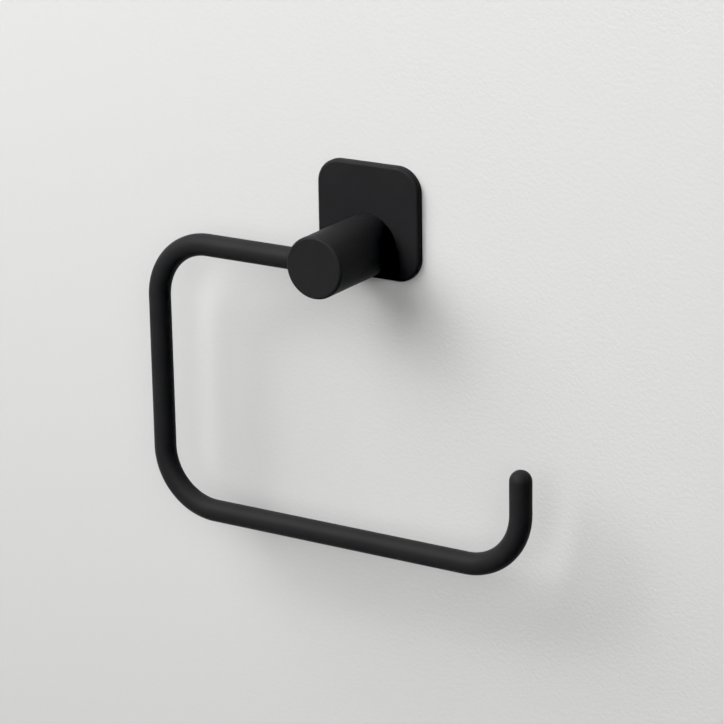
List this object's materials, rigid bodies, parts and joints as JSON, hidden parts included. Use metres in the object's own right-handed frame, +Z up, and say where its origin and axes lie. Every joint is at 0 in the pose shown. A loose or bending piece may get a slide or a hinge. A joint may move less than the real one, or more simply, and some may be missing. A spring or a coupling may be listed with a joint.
{
  "type": "toilet roll holder",
  "caption": "Wall-mounted toilet roll holder: a round bar bent into an open rectangle with an upturned end, on a round post and a rounded square backplate.",
  "frame": {"origin": "middle of the backplate on the wall's surface, midway between the two wall fixings", "axes": "+X to the right as seen from the room, +Y into the wall, +Z up; the holder stands out towards -Y"},
  "size_m": [0.195, 0.0858, 0.1665],
  "materials": {
    "black_powder_coat": "fine matt powder coat",
    "zinc_plated_steel": "zinc plated",
    "screw_steel": "bright zinc",
    "black_oxide_steel": "black oxide",
    "grey_nylon": "moulded"
  },
  "bodies": {
    "root": {"backplate": "black_powder_coat", "post": "black_powder_coat", "bar": "black_powder_coat", "wall_bracket": "zinc_plated_steel", "mounting_stub": "zinc_plated_steel", "wall_screw_left": "screw_steel", "wall_screw_right": "screw_steel", "post_set_screw": "black_oxide_steel", "bar_set_screw": "black_oxide_steel", "wall_plug_left": "grey_nylon", "wall_plug_right": "grey_nylon"}
  },
  "joints": []
}
